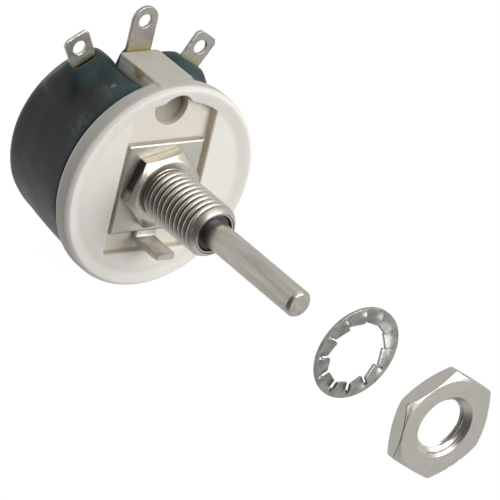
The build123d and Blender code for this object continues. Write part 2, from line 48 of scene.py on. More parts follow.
class Value:
    """One output of a node. Sums and products of it add Math nodes to the same material."""

    def __init__(self, tree, socket=None):
        self.tree = tree
        self.socket = socket

    def node(self, kind, settings=None, inputs=None, out=0):
        made = self.tree.nodes.new(kind)
        for name, setting in (settings or {}).items():
            setattr(made, name, setting)
        for name, value in (inputs or {}).items():
            if isinstance(value, Value):
                self.tree.links.new(value.socket, made.inputs[name])
            else:
                made.inputs[name].default_value = value
        return Value(self.tree, made.outputs[out])

    def math(self, operation, first, second):
        return self.node("ShaderNodeMath", {"operation": operation}, {0: first, 1: second})

    def __add__(self, other):
        return self.math("ADD", self, other)

    def __radd__(self, other):
        return self.math("ADD", other, self)

    def __sub__(self, other):
        return self.math("SUBTRACT", self, other)

    def __rsub__(self, other):
        return self.math("SUBTRACT", other, self)

    def __mul__(self, other):
        return self.math("MULTIPLY", self, other)

    def __rmul__(self, other):
        return self.math("MULTIPLY", other, self)

    def __pow__(self, other):
        return self.math("POWER", self, other)

    def step(self, low, high):
        """0 below low and 1 above high, with a soft rise between."""
        settings = {"interpolation_type": "SMOOTHSTEP"}
        return self.node("ShaderNodeMapRange", settings, {0: self, 1: low, 2: high})

    def blend(self, first, second):
        """Colour first where this is 0, and second where it is 1."""
        settings = {"data_type": "RGBA"}
        first = (*first, 1) if isinstance(first, tuple) else first
        second = (*second, 1) if isinstance(second, tuple) else second
        return self.node("ShaderNodeMix", settings, {0: self, 6: first, 7: second}, out=2)


def finish(name, colour, roughness, metallic=0.0, **sockets):
    """A material, the place on the piece in millimetres, and its shader."""
    material = bpy.data.materials.new(name)
    material.use_nodes = True
    material.diffuse_color = (*colour, 1)
    shader = material.node_tree.nodes["Principled BSDF"]
    shader.inputs["Base Color"].default_value = (*colour, 1)
    shader.inputs["Roughness"].default_value = roughness
    shader.inputs["Metallic"].default_value = metallic
    for key, value in sockets.items():
        shader.inputs[key.replace("_", " ")].default_value = value
    start = Value(material.node_tree)
    place = start.node("ShaderNodeTexCoord", out="Object")
    scaled = {"operation": "SCALE"}
    place = start.node("ShaderNodeVectorMath", scaled, {0: place, "Scale": 1 / MM})
    return material, place, shader


def feed(shader, socket, value):
    """Link a value to one socket of a material's shader."""
    value.tree.links.new(value.socket, shader.inputs[socket])


def grain(place, scale, detail, roughness=0.5, distortion=0.0):
    """Noise from 0 to 1, with scale in waves per millimetre."""
    inputs = {"Vector": place, "Scale": scale, "Detail": detail}
    inputs.update({"Roughness": roughness, "Distortion": distortion})
    return place.node("ShaderNodeTexNoise", {}, inputs)


def relief(shader, height, depth):
    """Bump whose height runs from 0 to 1 over a depth in millimetres."""
    inputs = {"Height": height, "Distance": depth * MM, "Strength": 1.0}
    feed(shader, "Normal", height.node("ShaderNodeBump", {}, inputs))


def axes(place):
    """The three coordinates of a place, and its distance from the shaft's axis."""
    x, y, z = (place.node("ShaderNodeSeparateXYZ", {}, {0: place}, out=axis) for axis in range(3))
    return x, y, z, (x * x + z * z) ** 0.5


def spot(place, centre, radius):
    """1 round a point of the piece, falling to 0 at a radius from it."""
    settings = {"operation": "DISTANCE"}
    away = place.node("ShaderNodeVectorMath", settings, {0: place, 1: centre}, out="Value")
    return 1 - away.step(radius * 0.35, radius)


def placed(name, data):
    """A new object in the scene."""
    made = bpy.data.objects.new(name, data)
    bpy.context.scene.collection.objects.link(made)
    return made


def applied(made):
    """Mesh of an object with its modifiers applied. The object itself goes."""
    bpy.context.view_layer.update()
    state = made.evaluated_get(bpy.context.evaluated_depsgraph_get())
    mesh = bpy.data.meshes.new_from_object(state)
    bpy.data.objects.remove(made)
    return mesh


def piece(name, meshes, material, body, slot, *nodes, crease=32):
    """One object from meshes, smooth except at its creases, that rides on a CAD body."""
    shape = bmesh.new()
    for mesh in meshes:
        shape.from_mesh(mesh)
        bpy.data.meshes.remove(mesh)
    bmesh.ops.recalc_face_normals(shape, faces=shape.faces)
    whole = bpy.data.meshes.new(name)
    shape.to_mesh(whole)
    shape.free()
    whole.materials.clear()
    whole.materials.append(material)
    whole.shade_smooth()
    whole.set_sharp_from_angle(angle=radians(crease))
    made = placed(name, whole)
    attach(made, body)
    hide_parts(*nodes)


def softened(node, voxel, passes):
    """Mesh of a CAD node with its edges rounded off. More passes round them further."""
    copy = placed(node + "_copy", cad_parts[node].data.copy())
    copy.modifiers.new("weld", "WELD").merge_threshold = 0.002 * MM
    remesh = copy.modifiers.new("remesh", "REMESH")
    remesh.mode = "VOXEL"
    remesh.voxel_size = voxel * MM
    smooth = copy.modifiers.new("smooth", "SMOOTH")
    smooth.factor = 0.5
    smooth.iterations = passes
    return applied(copy)


face_level = 1.35
floor_level = 2.4
base_radius = 12.3
rim_foot = 10.2
rim_ease = 0.38
pocket_offset = 9.2
pocket_radius = 2.1
pocket_sink = 3.6
tongue_half = 2.6
tongue_rise = 0.6
stain_place = (-tongue_half, 6.2, 11.85)
stain_radius = 1.5
clay = (0.77, 0.745, 0.69)
clay_pale = (0.79, 0.77, 0.725)
clay_warm = (0.755, 0.73, 0.68)
valley_shade_tan = (0.62, 0.55, 0.43)
wall_shade_tan = (0.70, 0.61, 0.46)
side_shade_grey = (0.55, 0.525, 0.47)
pocket_shade_brown = (0.15, 0.11, 0.06)
speck_brown = (0.33, 0.28, 0.20)
flux_yellow = (0.42, 0.30, 0.07)
material, place, shader = finish("fired_ceramic", clay, 0.52)
shader.inputs["Subsurface Weight"].default_value = 0.25
shader.inputs["Subsurface Radius"].default_value = (1.0, 0.75, 0.5)
shader.inputs["Subsurface Scale"].default_value = 0.7 * MM
x, y, z, out = axes(place)
below = y.step(face_level + 0.1, face_level + 0.45)
wall = below * (1 - y.step(floor_level - 0.1, floor_level + 0.1))
wall = wall * (1 - out.step(rim_foot, rim_foot + 0.7))
up = z - pocket_offset
pocket = 1 - ((x * x + up * up) ** 0.5).step(pocket_radius - 0.2, pocket_radius + 0.1)
pocket = pocket * y.step(face_level + 0.1, face_level + 0.9)
shaded = pocket * (0.62 + (x + up * 0.6).step(-1.6, 2.2) * 0.36)
valley = out.step(rim_foot - 0.3, rim_foot + 0.15) * (1 - out.step(rim_foot + 0.3, rim_foot + 0.7))
side = out.step(base_radius - 0.22, base_radius - 0.06) * y.step(face_level, face_level + 0.3)
speck = grain(place, 3.1, 1.0).step(0.74, 0.79)
stain = spot(place, stain_place, stain_radius) * grain(place, 1.2, 2.0).step(0.3, 0.55)
stain = stain * (1 - x.step(-tongue_half + 0.03, -tongue_half + 0.15))
toned = grain(place, 0.35, 3.0).blend(clay_pale, clay_warm)
# Painted shade: the valley inside the rim is tinted darker tan.
toned = (valley * (1 - below) * 0.2).blend(toned, valley_shade_tan)
# Painted shade: the recess walls below the face are tinted tan.
toned = (wall * 0.8).blend(toned, wall_shade_tan)
# Painted shade: the band round the disc's outer side is darkened grey.
toned = (side * 0.9).blend(toned, side_shade_grey)
# Painted shade: the pocket is darkened brown, most towards its upper right.
toned = shaded.blend(toned, pocket_shade_brown)
toned = (speck * 0.55).blend(toned, speck_brown)
toned = (stain * 0.9).blend(toned, flux_yellow)
feed(shader, "Base Color", toned)
relief(shader, grain(place, 4.0, 3.0) + grain(place, 0.8, 2.0), 0.02)


def reshaped(mesh, rule):
    """The mesh with its points, in millimetres, moved by a rule that also gets the normals."""
    points = np.zeros(len(mesh.vertices) * 3)
    normals = np.zeros(len(mesh.vertices) * 3)
    mesh.vertices.foreach_get("co", points)
    mesh.vertex_normals.foreach_get("vector", normals)
    points = rule(points.reshape(-1, 3) / MM, normals.reshape(-1, 3))
    mesh.vertices.foreach_set("co", (points * MM).ravel())
    return mesh


def pressed_face(points, normals):
    """Sinks the pocket, eases the rim's inner slope, and runs the tongue's top into the disc."""
    x, y, z = points.T
    in_pocket = np.hypot(x, z - pocket_offset) < pocket_radius + 0.04
    within = in_pocket & (y > floor_level + 0.02) & (y < floor_level + 0.6)
    points[within, 1] = floor_level + (y[within] - floor_level) * pocket_sink
    out = np.hypot(x, z)
    share = np.clip((out - rim_foot) / 1.8, 0, 1)
    slope = face_level - rim_ease * share * share * (3 - 2 * share)
    front = (y < face_level + 0.05) & (out > rim_foot - 0.3) & (out < base_radius - 0.4)
    points[front, 1] = np.maximum(y[front], slope[front])
    joint = np.clip((tongue_half - np.abs(x)) / 0.25, 0, 1) * np.clip((y - 1.7) / 0.7, 0, 1)
    joint = joint * ((z > base_radius - 0.7) & (y < 4.2))
    points[:, 2] += joint * np.clip(base_radius - 0.03 - z, 0, tongue_rise)
    return points


pressed = reshaped(softened("ceramic_base", voxel=0.12, passes=4), pressed_face)
piece("ceramic_body", [pressed], material, "base", "ceramic", "ceramic_base", crease=60)


# Winding core: a ceramic C cemented to the base's rear face. Only the slivers at its two
# ends show, between enamel and wire.
core_clay = (0.70, 0.67, 0.60)
core_pale = (0.72, 0.69, 0.62)
core_dark = (0.60, 0.56, 0.48)


def dress(material, *nodes):
    """Gives the CAD nodes that are shown as they are a finish."""
    for node in nodes:
        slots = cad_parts[node].data.materials
        slots.clear()
        slots.append(material)


material, place, shader = finish("core_ceramic", core_clay, 0.6)
feed(shader, "Base Color", grain(place, 0.6, 3.0).blend(core_pale, core_dark))
relief(shader, grain(place, 4.0, 3.0), 0.02)
dress(material, "winding_core")


# Resistance winding: bare round wire wound tight over the core, one turn beside the next.
# The turns are ground bright where the brush runs on them at the rear.
core_inner = 7.9
core_front_radius = 10.75
core_rear_radius = 9.6
core_front = 4.25
core_rear = 15.9
core_round = 0.45
rear_round = 1.1
wire = 0.34
wire_sides = 8
wire_spread = 1.12
wire_seat = 0.01
ground_off = 0.03
track_inner = 7.9
track_outer = 9.0
first_turn = 43.0
turns = 84
wire_metal = (0.40, 0.36, 0.31)
wire_oxide = (0.30, 0.26, 0.22)
wire_bright = (0.66, 0.61, 0.54)


def rounded(points, cut, closed=False, steps=5):
    """A path with each corner rounded off, starting a given distance from it."""
    points = [np.array(p, float) for p in points]
    path = []
    for i, corner in enumerate(points):
        if not closed and i in (0, len(points) - 1):
            path.append(corner)
            continue
        back = points[i - 1] - corner
        ahead = points[(i + 1) % len(points)] - corner
        shorter = min(np.linalg.norm(back), np.linalg.norm(ahead))
        reach = min(cut[i] if isinstance(cut, list) else cut, 0.48 * shorter)
        start = corner + back / np.linalg.norm(back) * reach
        end = corner + ahead / np.linalg.norm(ahead) * reach
        for t in np.linspace(0, 1, steps):
            path.append((1 - t) ** 2 * start + 2 * t * (1 - t) * corner + t * t * end)
    return np.array(path)


def skin(loops, ring=False):
    """Mesh through loops of points in millimetres, capped at its ends unless it is a ring."""
    loops = np.array(loops)
    count, around = loops.shape[:2]
    faces = []
    for i in range(count if ring else count - 1):
        j = (i + 1) % count
        for k in range(around):
            m = (k + 1) % around
            faces.append((i * around + k, j * around + k, j * around + m, i * around + m))
    if not ring:
        faces.append(list(range(around)))
        faces.append([(count - 1) * around + k for k in range(around)])
    mesh = bpy.data.meshes.new("part")
    mesh.from_pydata((loops.reshape(-1, 3) * MM).tolist(), [], faces)
    return mesh


def round_core(growth):
    """Path round the core's section, as radius and level, at a distance from its surface."""
    corners = [
        (core_inner - growth, core_front - growth),
        (core_front_radius + growth, core_front - growth),
        (core_rear_radius + growth, core_rear + growth),
        (core_inner - growth, core_rear + growth),
    ]
    return rounded(corners, [core_round, core_round, rear_round, core_round], closed=True)


track_level = core_rear + wire - ground_off
path = round_core(wire / 2 + wire_seat)
ahead = np.roll(path, -1, axis=0) - np.roll(path, 1, axis=0)
ahead /= np.linalg.norm(ahead, axis=1)[:, None]
normal = np.stack([ahead[:, 1], -ahead[:, 0]], axis=1)
wound = []
for i in range(turns):
    angle = radians(first_turn + (360 - 2 * first_turn) * (i + 0.5) / turns)
    across = np.array([cos(angle), 0, -sin(angle)])
    loops = []
    for (radius, level), (n_r, n_y) in zip(path, normal):
        middle = np.array([radius * sin(angle), level, radius * cos(angle)])
        outward = np.array([n_r * sin(angle), n_y, n_r * cos(angle)])
        loop = []
        for k in range(wire_sides):
            side = wire / 2 * cos(2 * pi * k / wire_sides)
            rise = wire / 2 * sin(2 * pi * k / wire_sides)
            point = middle + across * side * wire_spread + outward * rise
            point[1] = min(point[1], track_level)
            loop.append(point)
        loops.append(loop)
    wound.append(skin(loops, ring=True))
material, place, shader = finish("resistance_wire", wire_metal, 0.42, 1.0)
_, y, _, out = axes(place)
track = out.step(track_inner, track_inner + 0.2) * (1 - out.step(track_outer, track_outer + 0.2))
track = track * y.step(track_level - 0.03, track_level - 0.005)
feed(shader, "Base Color", track.blend(wire_oxide, wire_bright))
feed(shader, "Roughness", 0.48 - track * 0.26)
relief(shader, grain(place, 6.0, 2.0), 0.01)
piece("wound_wire", wound, material, "base", "resistance_wire", "resistance_winding")


# End terminals: tinned strips bent round the winding's ends, with a pierced lug that stands
# out through the enamel. They were dipped, so the tin is uneven and flux lies at the root.
band_lift = 0.2
band_thickness = 0.28
lug_width = 3.0
lug_thickness = 0.4
lug_edge = 0.07
lug_tip = 16.35
lug_hole = 0.825
hole_offset = 14.7
lug_flare = 0.12
shoulder_drop = 0.45
tip_corner = 0.3
flux_start = 13.1
flux_olive = (0.42, 0.34, 0.13)
tin_speck = (0.10, 0.085, 0.06)


def sheet(outline, holes, thickness, edge):
    """Flat plate from its outline and round holes, in its own plane, with eased edges."""
    curve = bpy.data.curves.new("outline", "CURVE")
    curve.dimensions = "2D"
    curve.fill_mode = "BOTH"
    curve.extrude = (thickness / 2 - edge) * MM
    curve.bevel_depth = edge * MM
    curve.bevel_resolution = 3
    curve.offset = -edge * MM
    edges = [outline]
    for hole_x, hole_y, radius in holes:
        turn = np.linspace(0, 2 * pi, 40, endpoint=False)
        hole_edge = [hole_x + radius * np.sin(turn), hole_y + radius * np.cos(turn)]
        edges.append(np.stack(hole_edge, axis=1))
    for edge_points in edges:
        spline = curve.splines.new("POLY")
        spline.points.add(len(edge_points) - 1)
        for point, (u, v) in zip(spline.points, edge_points):
            point.co = (u * MM, v * MM, 0, 1)
        spline.use_cyclic_u = True
    flat = bpy.data.objects.new("outline", curve)
    mesh = bpy.data.meshes.new_from_object(flat)
    bpy.data.objects.remove(flat)
    return mesh


def stood(mesh, level):
    """A flat plate stood across the shaft's axis, with its middle at a level."""
    mesh.transform(Matrix.Translation((0, level * MM, 0)) @ Matrix.Rotation(pi / 2, 4, "X"))
    return mesh


def strip(path, width, thickness, ring=False, edge=0.06):
    """Loops of a flat strip whose middle follows a path, as distance up and level, at x = 0."""
    path = np.array(path)
    ahead = np.gradient(path, axis=0)
    if ring:
        ahead = np.roll(path, -1, axis=0) - np.roll(path, 1, axis=0)
    ahead /= np.linalg.norm(ahead, axis=1)[:, None]
    w = width / 2
    t = thickness / 2
    section = rounded([(-w, -t), (w, -t), (w, t), (-w, t)], edge, closed=True, steps=3)
    loops = []
    for (up, level), (a_up, a_level) in zip(path, ahead):
        loops.append([(side, level - rise * a_up, up + rise * a_level) for side, rise in section])
    return loops


def dense(points, spacing):
    """A path with extra points along its straight runs, about a spacing apart."""
    points = np.array(points)
    path = [points[0]]
    for start, end in zip(points[:-1], points[1:]):
        parts = max(1, int(np.linalg.norm(end - start) / spacing))
        for k in range(1, parts + 1):
            path.append(start + (end - start) * k / parts)
    return np.array(path)


def dipped(name, bright, dark, root, root_axis):
    """Dip-tinned metal, satin and a little uneven, with yellow flux near its root."""
    material, place, shader = finish(name, bright, 0.34, 1.0)
    _, _, z, out = axes(place)
    lumps = grain(place, 0.7, 2.0, 0.5)
    dull = grain(place, 2.4, 3.0).step(0.45, 0.75)
    along = z if root_axis == "z" else out
    flux = 1 - (along + lumps * 0.8).step(root, root + 0.9)
    flux = flux * along.step(root - 1.8, root - 1.2) * 0.8
    tint = dull.blend(bright, dark)
    speck = grain(place, 3.4, 2.0).step(0.64, 0.74) * (1 - along.step(root + 0.8, root + 2.6)) * 0.7
    tint = speck.blend(tint, tin_speck)
    feed(shader, "Base Color", flux.blend(tint, flux_olive))
    feed(shader, "Roughness", 0.3 + dull * 0.15 + flux * 0.15)
    relief(shader, lumps + grain(place, 4.0, 2.0) * 0.06, 0.05)
    return material


def wall_radius(level):
    """Radius of the core's outer wall at a level."""
    share = (level - core_front) / (core_rear - core_front)
    return core_front_radius + (core_rear_radius - core_front_radius) * share


# The two lugs share one tin given two tones: the left is painted lighter as painted light, and the
# right darker as painted shade.
for side, lug_angle, lug_level, bright, dark in (
    ("left", -30.0, 11.0, (0.78, 0.76, 0.71), (0.56, 0.52, 0.45)),
    ("right", 30.0, 8.7, (0.50, 0.49, 0.45), (0.34, 0.32, 0.28)),
):
    band = skin(strip(round_core(band_lift), lug_width, band_thickness, ring=True), ring=True)
    root = wall_radius(lug_level) + band_lift
    half = lug_width / 2
    shoulder = sqrt(lug_tip ** 2 - half ** 2) - shoulder_drop
    across = np.linspace(-half + tip_corner, half - tip_corner, 9)
    outline = [(-half, root), (-half - lug_flare, shoulder)]
    outline += [(u, sqrt(lug_tip ** 2 - u * u)) for u in across]
    outline += [(half + lug_flare, shoulder), (half, root)]
    lug = sheet(outline, [(0, hole_offset, lug_hole)], lug_thickness, lug_edge)
    lug = stood(lug, lug_level + lug_thickness / 2)
    for mesh in (band, lug):
        mesh.transform(Matrix.Rotation(radians(lug_angle), 4, "Y"))
    material = dipped(side + "_tin", bright, dark, flux_start, "out")
    piece(side + "_lug", [band, lug], material, "base", "tinned_strip", side + "_end_terminal")


# Enamel: ground glass sprayed over the winding and fired, dark green black, with soft
# mounds where it climbs the lugs, slow waves, pits, a scuff and one bare spot.
scuff_place = (-9.7, 4.7, 6.6)
scuff_radius = 2.4
bare_place = (-5.4, 6.4, 10.4)
bare_radius = 0.5
mound_foot = 5.0
mound_inner = 10.3
mound_passes = 70
sag_inner = 10.2
sag_depth = 0.09
glass_black = (0.008, 0.010, 0.011)
glass_teal = (0.015, 0.056, 0.054)
glass_reflected_grey = (0.036, 0.037, 0.036)
scuff_violet = (0.085, 0.080, 0.105)
bare_pink = (0.36, 0.31, 0.27)
gloss = {"Coat_Weight": 0.2, "Coat_Roughness": 0.22, "Specular_IOR_Level": 0.36}
material, place, shader = finish("vitreous_enamel", glass_black, 0.42, **gloss)
_, y, z, _ = axes(place)
cloud = grain(place, 0.28, 3.0, 0.6, 0.4)
near_lugs = z.step(8.6, 10.8)
near_base = (1 - y.step(4.2, 7.0)) * z.step(1.0, 6.0)
teal = cloud.step(0.3, 0.58) * (near_lugs * 0.9 + near_base * 0.5)
scuff = spot(place, scuff_place, scuff_radius) * grain(place, 1.1, 3.0, 0.6).step(0.38, 0.6)
bare = spot(place, bare_place, bare_radius) * 0.75
# Painted reflection of the floor: the coat is lightened grey towards the bottom.
lower_reflection = (1 - z.step(-7.0, -1.0)) * 0.5
tint = teal.blend(glass_black, glass_teal)
tint = (scuff * 0.6).blend(tint, scuff_violet)
tint = (bare * 0.8).blend(tint, bare_pink)
tint = lower_reflection.blend(tint, glass_reflected_grey)
feed(shader, "Base Color", tint)
feed(shader, "Roughness", 0.36 + cloud * 0.16 + bare * 0.3)
pits = place.node("ShaderNodeTexVoronoi", {}, {"Vector": place, "Scale": 0.5}, out="Distance")
relief(shader, grain(place, 0.5, 2.0) + pits.step(0.02, 0.07) * 0.25, 0.05)


def sagged(points, normals):
    """Slow waves where the glass ran before it set."""
    away = np.hypot(points[:, 0], points[:, 2])
    waves = np.array([noise.fractal(Vector(point * 0.22), 1.0, 2.0, 2) for point in points])
    moved = waves * sag_depth * np.clip((away - sag_inner) / 0.8, 0, 1)
    return points + normals * moved[:, None]


coat = reshaped(softened("enamel_coating", voxel=0.14, passes=20), sagged)
melted = bmesh.new()
melted.from_mesh(coat)
mounds = []
for vertex in melted.verts:
    if vertex.co.z > mound_foot * MM and vertex.co.xz.length > mound_inner * MM:
        mounds.append(vertex)
every_axis = {"use_axis_x": True, "use_axis_y": True, "use_axis_z": True}
for _ in range(mound_passes):
    bmesh.ops.smooth_vert(melted, verts=mounds, factor=0.5, **every_axis)
melted.to_mesh(coat)
melted.free()
piece("enamel_coat", [coat], material, "base", "enamel", "enamel_coating", crease=60)


# Centre terminal: tinned strip soldered to the slip ring's tab. It runs back under the
# ceramic tongue, is folded up behind it, and ends in a round pierced lug.
strap_width = 3.3
strap_tip = 17.6
strap_hole = 15.85
strap_foot = 8.3
strap_low = 10.08
strap_front = 4.3
strap_rear = 10.22
strap_bend = 0.35
fold_top = 12.2
upright_foot = 11.6
upright_spare = 0.014
bead_level = 4.1
bead_rise = 0.55
bead_half_width = 1.2
bead_middle = 9.0
bead_half_height = 0.75
tin_bright = (0.50, 0.475, 0.42)
tin_dark = (0.36, 0.34, 0.29)
strap_flux_start = 12.9
path = [(strap_foot, strap_front), (strap_low, strap_front)]
path += [(strap_low, strap_rear), (fold_top, strap_rear)]
path = dense(rounded(path, strap_bend, steps=6), spacing=0.4)
folded = skin(strip(path, strap_width, lug_thickness))
half = strap_width / 2
turn = np.linspace(-pi / 2, pi / 2, 25)
crown = [(half * sin(a), strap_tip - half + half * cos(a)) for a in turn]
outline = [(-half, upright_foot)] + crown + [(half, upright_foot)]
upright = sheet(outline, [(0, strap_hole, lug_hole)], lug_thickness + upright_spare, lug_edge)
upright = stood(upright, strap_rear)
solder_bead = []
for k in np.linspace(0, pi, 9):
    bead = []
    for a in np.linspace(0, 2 * pi, 16, endpoint=False):
        side = bead_half_width * sin(k) * cos(a)
        level = bead_level + bead_rise * sin(k) * max(0, sin(a))
        bead.append((side, level, bead_middle - bead_half_height * cos(k)))
    solder_bead.append(bead)
tin = dipped("centre_tin", tin_bright, tin_dark, strap_flux_start, "z")
meshes = [folded, upright, skin(solder_bead)]
piece("centre_lug", meshes, tin, "base", "tinned_strip", "centre_terminal")


# Locating plate: nickel-plated square of sheet clamped under the flange. A tab cut in its
# lower edge is folded forward, and its end enters a hole in the panel.
plate_front = 1.6
plate_thickness = 0.8
plate_left = 5.1
plate_top = 5.3
plate_bottom = 5.65
plate_corner = 0.2
plate_edge = 0.27
plate_bore = 2.65
tab_width = 2.65
tab_middle = 6.70
tab_thickness = 0.64
tab_reach = 2.5
tab_bend = 0.75
tab_edge = 0.12
tab_taper = 0.16
taper_rows = 5
stamped_colour = (0.60, 0.58, 0.53)


def plated(name, colour, roughness, marks, wear=0.5, depth=0.012):
    """Nickel plate over machined or stamped metal. marks turns a place into a height."""
    material, place, shader = finish(name, colour, roughness, 1.0)
    haze = grain(place, 0.7, 4.0, 0.6)
    smudge = grain(place, 1.4, 3.0).step(0.5, 0.78)
    dark = tuple(c * 0.62 for c in colour)
    feed(shader, "Base Color", (smudge * wear * 0.6).blend(colour, dark))
    feed(shader, "Roughness", roughness + haze * 0.16 - 0.08)
    relief(shader, marks(place), depth)
    return material


corners = [(-plate_left, -plate_bottom), (-plate_left, plate_top)]
corners += [(plate_left, plate_top), (plate_left, -plate_bottom)]
outline = rounded(corners, plate_corner, closed=True, steps=4)
plate_middle = plate_front + plate_thickness / 2
flat = stood(sheet(outline, [(0, 0, plate_bore)], plate_thickness, plate_edge), plate_middle)
tab_root = -plate_bottom + 0.6
path = [(tab_root, plate_middle), (-tab_middle, plate_middle), (-tab_middle, -tab_reach)]
path = dense(rounded(path, tab_bend, steps=8), spacing=0.3)
loops = np.array(strip(path, tab_width, tab_thickness, edge=tab_edge))
for k, share in enumerate(np.linspace(0, 1, taper_rows)):
    loops[-1 - k, :, 0] *= 1 - tab_taper * (1 - share) ** 2


def stamped_marks(place):
    """Low waves and fine grain of rolled sheet."""
    return grain(place, 0.8, 2.0) + grain(place, 5.0, 2.0) * 0.15


stamped = plated("stamped_nickel", stamped_colour, 0.44, stamped_marks)
meshes = [flat, skin(loops)]
piece("locating_plate_and_lug", meshes, stamped, "base", "plated_steel", "locating_plate")


# Bushing: turned from hexagon brass and nickel-plated. The threaded barrel runs out to a
# chamfer at the counterbored mouth, and the spigot is staked over behind the ceramic.
barrel_radius = 3.175
barrel_reach = 9.5
thread_pitch = 25.4 / 32
thread_depth = 0.45
crest_share = 0.12
flank_share = 0.80
root_curve = 1.6
thread_start = -0.62
lead_length = 0.95
relief_radius = 2.85
flange_flats = 4.2
flange_thick = 1.6
flange_turn = -12.0
flange_face = 3.75
flange_slope = 0.52
corner_ease = 0.05
bore = 1.64
mouth = 2.22
mouth_depth = 1.1
end_radius = 2.47
spigot = 2.6
staked = 3.05
staked_from = 4.1
staked_to = 4.55
staked_round = 0.12
nickel = (0.66, 0.63, 0.57)
nickel_bright = (0.70, 0.67, 0.61)
nickel_worn = (0.46, 0.43, 0.37)
nickel_reflected_tan = (0.52, 0.45, 0.34)
crease_shade_brown = (0.13, 0.095, 0.06)
dark_reflection_black = (0.022, 0.020, 0.018)
around = 240
angles = np.linspace(0, 2 * pi, around, endpoint=False)


def thread_cut(level):
    """How far a rounded 60 degree thread is cut below its crest at each angle of a level."""
    phase = level / thread_pitch - angles / (2 * pi)
    wave = np.abs((phase % 1.0) - 0.5) * 2
    return thread_depth * np.clip((wave - crest_share) / flank_share, 0, 1) ** root_curve


def circle(radius, level):
    """Points round the shaft's axis. Radius and level may vary from point to point."""
    radius = np.broadcast_to(radius, angles.shape)
    level = np.broadcast_to(level, angles.shape)
    return np.stack([radius * np.sin(angles), level, radius * np.cos(angles)], axis=1)


def hexagon(flats, turn):
    """Distance to a hexagon's side at each angle, its corners slightly eased."""
    folded = (angles - radians(turn) + pi / 6) % (pi / 3) - pi / 6
    return np.minimum(flats / np.cos(folded), flats / cos(pi / 6) - corner_ease)


def hexagon_loops(flats, turn, flat_radius, slope, front, rear, both=True):
    """Outside loops of a hexagon turned down to a cone at its front, and at its rear if both."""
    wide = hexagon(flats, turn)
    drop = (wide - flat_radius) * slope
    edge = 0.06
    loops = [circle(flat_radius - 0.15, front), circle(flat_radius, front + 0.01)]
    for share in (0.33, 0.66):
        radius = flat_radius + (wide - edge - flat_radius) * share
        loops.append(circle(radius, front + drop * share))
    loops.append(circle(wide - edge, front + drop - edge * slope))
    loops.append(circle(wide, front + drop + edge))
    if both:
        loops.append(circle(wide, rear - drop - edge))
        loops.append(circle(wide - edge, rear - drop + edge * slope))
        loops.append(circle(flat_radius, rear - 0.01))
        loops.append(circle(flat_radius - 0.15, rear))
    else:
        loops.append(circle(wide, rear - edge))
        loops.append(circle(wide - edge, rear))
    return loops


loops = []
for radius, depth in (
    (bore, mouth_depth),
    (mouth - 0.05, mouth_depth),
    (mouth, mouth_depth - 0.05),
    (mouth, 0.12),
    (mouth + 0.04, 0.06),
    (end_radius - 0.07, 0.06),
    (end_radius - 0.06, 0.2),
    (end_radius - 0.02, 0.2),
    (end_radius - 0.01, 0.0),
):
    loops.append(circle(radius, -barrel_reach + depth))
for level in np.arange(-barrel_reach + 0.02, thread_start, thread_pitch / 16):
    run = min(1.0, (level + barrel_reach) / lead_length)
    lead = end_radius + (barrel_radius - end_radius) * sin(pi / 2 * run)
    loops.append(circle(np.minimum(barrel_radius - thread_cut(level), lead), level))
loops += [circle(relief_radius, thread_start + 0.1), circle(relief_radius, -0.04)]
loops.append(circle(relief_radius + 0.06, 0))
loops += hexagon_loops(
    flange_flats, flange_turn, flange_face, flange_slope, 0.0, flange_thick, both=False
)
loops += [circle(spigot, flange_thick), circle(spigot, staked_from)]
for k in np.linspace(0, pi / 2, 5):
    loops.append(circle(staked - staked_round * (1 - sin(k)), staked_to - 0.45 + 0.3 * sin(k)))
for radius, drop in ((staked - 0.35, 0), (bore + 0.25, 0.05), (bore, 0.12)):
    loops.append(circle(radius, staked_to - drop))
material, place, shader = finish("turned_nickel", nickel, 0.3, 1.0)
x, y, z, out = axes(place)
haze = grain(place, 0.8, 3.0, 0.6)
threaded = y.step(-barrel_reach + 0.5, -barrel_reach + 0.9) * (1 - y.step(-0.1, 0.0))
# Painted shade: the thread's valleys and the thin line at the barrel's end are darkened brown.
crease_shade = (1 - out.step(relief_radius - 0.02, barrel_radius - 0.07)) * threaded
at_end = 1 - y.step(-barrel_reach + 0.3, -barrel_reach + 0.4)
end_line = out.step(end_radius - 0.1, end_radius - 0.06)
end_line = end_line * (1 - out.step(end_radius - 0.02, end_radius + 0.03))
crease_shade = crease_shade + end_line * at_end
# Painted reflection: one facet of the flange is painted near black and made less metallic, a dark
# reflection.
dark_facet = radians(flange_turn - 60)
facing = x * sin(dark_facet) + z * cos(dark_facet)
along = x * cos(dark_facet) - z * sin(dark_facet)
dark_reflection = facing.step(flange_flats - 0.14, flange_flats - 0.05) * along.step(-1.9, -0.9)
dark_reflection = dark_reflection * y.step(0.3, 0.6) * (1 - y.step(flange_thick - 0.1, flange_thick))
dark_reflection = dark_reflection * grain(place, 1.6, 3.0, 0.6).step(0.22, 0.42)
# Painted reflection: the flange's chamfer and facets are tinted warm tan.
tarnish_and_reflection = out.step(flange_face + 0.05, flange_face + 0.35) * y.step(0.1, 0.5) * 0.6
worn = grain(place, 2.2, 3.0).step(0.5, 0.72) * 0.35
tint = worn.blend(nickel_bright, nickel_worn)
tint = tarnish_and_reflection.blend(tint, nickel_reflected_tan)
tint = (crease_shade * 0.9).blend(tint, crease_shade_brown)
feed(shader, "Base Color", (dark_reflection * 0.95).blend(tint, dark_reflection_black))
feed(shader, "Roughness", 0.24 + haze * 0.16 + crease_shade * 0.2)
feed(shader, "Metallic", 1 - dark_reflection * 0.8)
relief(shader, haze + grain(place, 4.0, 2.0) * 0.15, 0.012)
turned = skin(loops, ring=True)
piece("threaded_bushing", [turned], material, "base", "nickel_plate", "bushing", crease=24)


